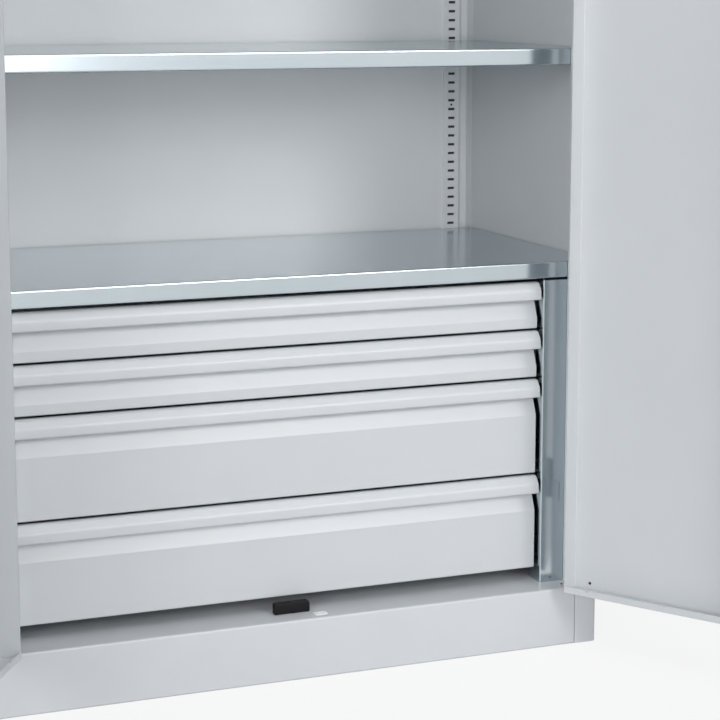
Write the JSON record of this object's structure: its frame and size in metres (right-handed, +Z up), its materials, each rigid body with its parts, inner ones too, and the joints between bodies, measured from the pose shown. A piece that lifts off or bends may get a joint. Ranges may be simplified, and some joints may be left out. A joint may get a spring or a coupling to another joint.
{
  "type": "storage cabinet",
  "caption": "Steel storage cabinet with hinged doors, slotted racks, folded shelves, a block of full-width pull-out drawers on telescopic runners and a turn handle with locking rods.",
  "frame": {"origin": "on the ground under the middle of the body", "axes": "+Z up, +X to the right seen from the front, +Y towards the back"},
  "size_m": [1.3597, 0.9167, 1.95],
  "materials": {
    "painted_sheet": "light grey powder coat, satin",
    "galvanised_sheet": "galvanised sheet, soft sheen",
    "plated_steel": "bright zinc plate",
    "buffer_rubber": "matt black",
    "bush_nylon": "natural white",
    "handle_plastic": "fine-grained black",
    "lock_chrome": "polished"
  },
  "bodies": {
    "carcass": {"side_panel_left": "painted_sheet", "side_panel_right": "painted_sheet", "back_panel": "painted_sheet", "roof_panel": "painted_sheet", "floor_panel": "painted_sheet", "plinth_side_left": "painted_sheet", "plinth_side_right": "painted_sheet", "plinth_rear": "painted_sheet", "base_ring": "painted_sheet", "front_racks": "painted_sheet", "rear_racks": "painted_sheet", "shelf_over_drawers": "galvanised_sheet", "shelf_lower": "galvanised_sheet", "shelf_middle": "galvanised_sheet", "shelf_upper": "galvanised_sheet", "shelf_clips": "plated_steel", "front_posts": "galvanised_sheet", "rear_posts": "galvanised_sheet", "runner_rails": "galvanised_sheet", "floor_buffer": "buffer_rubber", "roof_buffer": "buffer_rubber", "rod_bushes": "bush_nylon", "frame_knuckles": "plated_steel", "hinge_pins": "plated_steel"},
    "right_door": {"door_right": "painted_sheet", "door_stiffener_right": "painted_sheet", "door_knuckles_right": "plated_steel", "lock_case": "plated_steel", "handle_plate": "handle_plastic", "rod_guides": "plated_steel"},
    "left_door": {"door_left": "painted_sheet", "door_stiffener_left": "painted_sheet", "door_knuckles_left": "plated_steel", "meeting_strip": "painted_sheet"},
    "handle": {"handle_lever": "handle_plastic", "lock_core": "lock_chrome", "handle_spindle": "plated_steel", "lock_cam": "plated_steel"},
    "upper_rod": {"rod_upper": "plated_steel"},
    "lower_rod": {"rod_lower": "plated_steel"},
    "drawer_1": {"drawer_front_1": "painted_sheet", "drawer_tray_1": "galvanised_sheet", "drawer_runner_1": "plated_steel"},
    "runner_1": {"runner_middle_1": "plated_steel"},
    "drawer_2": {"drawer_front_2": "painted_sheet", "drawer_tray_2": "galvanised_sheet", "drawer_runner_2": "plated_steel"},
    "runner_2": {"runner_middle_2": "plated_steel"},
    "drawer_3": {"drawer_front_3": "painted_sheet", "drawer_tray_3": "galvanised_sheet", "drawer_runner_3": "plated_steel"},
    "runner_3": {"runner_middle_3": "plated_steel"},
    "drawer_4": {"drawer_front_4": "painted_sheet", "drawer_tray_4": "galvanised_sheet", "drawer_runner_4": "plated_steel"},
    "runner_4": {"runner_middle_4": "plated_steel"}
  },
  "joints": [
    {"name": "right_door_hinge", "type": "hinge", "parent": "carcass", "child": "right_door", "pos_m": [0.4465, -0.2553, 1], "axis": [0, 0, 1], "range_deg": [-122, 0]},
    {"name": "left_door_hinge", "type": "hinge", "parent": "carcass", "child": "left_door", "pos_m": [-0.4465, -0.2553, 1], "axis": [0, 0, -1], "range_deg": [-122, 0]},
    {"name": "handle_turn", "type": "hinge", "parent": "right_door", "child": "handle", "pos_m": [0.65795, -0.60369, 1], "axis": [-0.848, -0.5299, 0], "range_deg": [0, 90]},
    {"name": "upper_rod_slide", "type": "slide", "parent": "right_door", "child": "upper_rod", "axis": [0, 0, 1], "range_m": [0, 0.02556]},
    {"name": "lower_rod_slide", "type": "slide", "parent": "right_door", "child": "lower_rod", "axis": [0, 0, -1], "range_m": [0, 0.02556]},
    {"name": "drawer_1_slide", "type": "slide", "parent": "carcass", "child": "drawer_1", "axis": [0, -1, 0], "range_m": [0, 0.385]},
    {"name": "runner_1_slide", "type": "slide", "parent": "carcass", "child": "runner_1", "axis": [0, -1, 0], "range_m": [0, 0.1925]},
    {"name": "drawer_2_slide", "type": "slide", "parent": "carcass", "child": "drawer_2", "axis": [0, -1, 0], "range_m": [0, 0.385]},
    {"name": "runner_2_slide", "type": "slide", "parent": "carcass", "child": "runner_2", "axis": [0, -1, 0], "range_m": [0, 0.1925]},
    {"name": "drawer_3_slide", "type": "slide", "parent": "carcass", "child": "drawer_3", "axis": [0, -1, 0], "range_m": [0, 0.385]},
    {"name": "runner_3_slide", "type": "slide", "parent": "carcass", "child": "runner_3", "axis": [0, -1, 0], "range_m": [0, 0.1925]},
    {"name": "drawer_4_slide", "type": "slide", "parent": "carcass", "child": "drawer_4", "axis": [0, -1, 0], "range_m": [0, 0.385]},
    {"name": "runner_4_slide", "type": "slide", "parent": "carcass", "child": "runner_4", "axis": [0, -1, 0], "range_m": [0, 0.1925]}
  ],
  "couplings": [
    {"joint": "upper_rod_slide", "follows": "handle_turn", "m_per_rad": 0.016206},
    {"joint": "lower_rod_slide", "follows": "handle_turn", "m_per_rad": 0.016206},
    {"joint": "runner_1_slide", "follows": "drawer_1_slide", "ratio": 0.5},
    {"joint": "runner_2_slide", "follows": "drawer_2_slide", "ratio": 0.5},
    {"joint": "runner_3_slide", "follows": "drawer_3_slide", "ratio": 0.5},
    {"joint": "runner_4_slide", "follows": "drawer_4_slide", "ratio": 0.5}
  ]
}
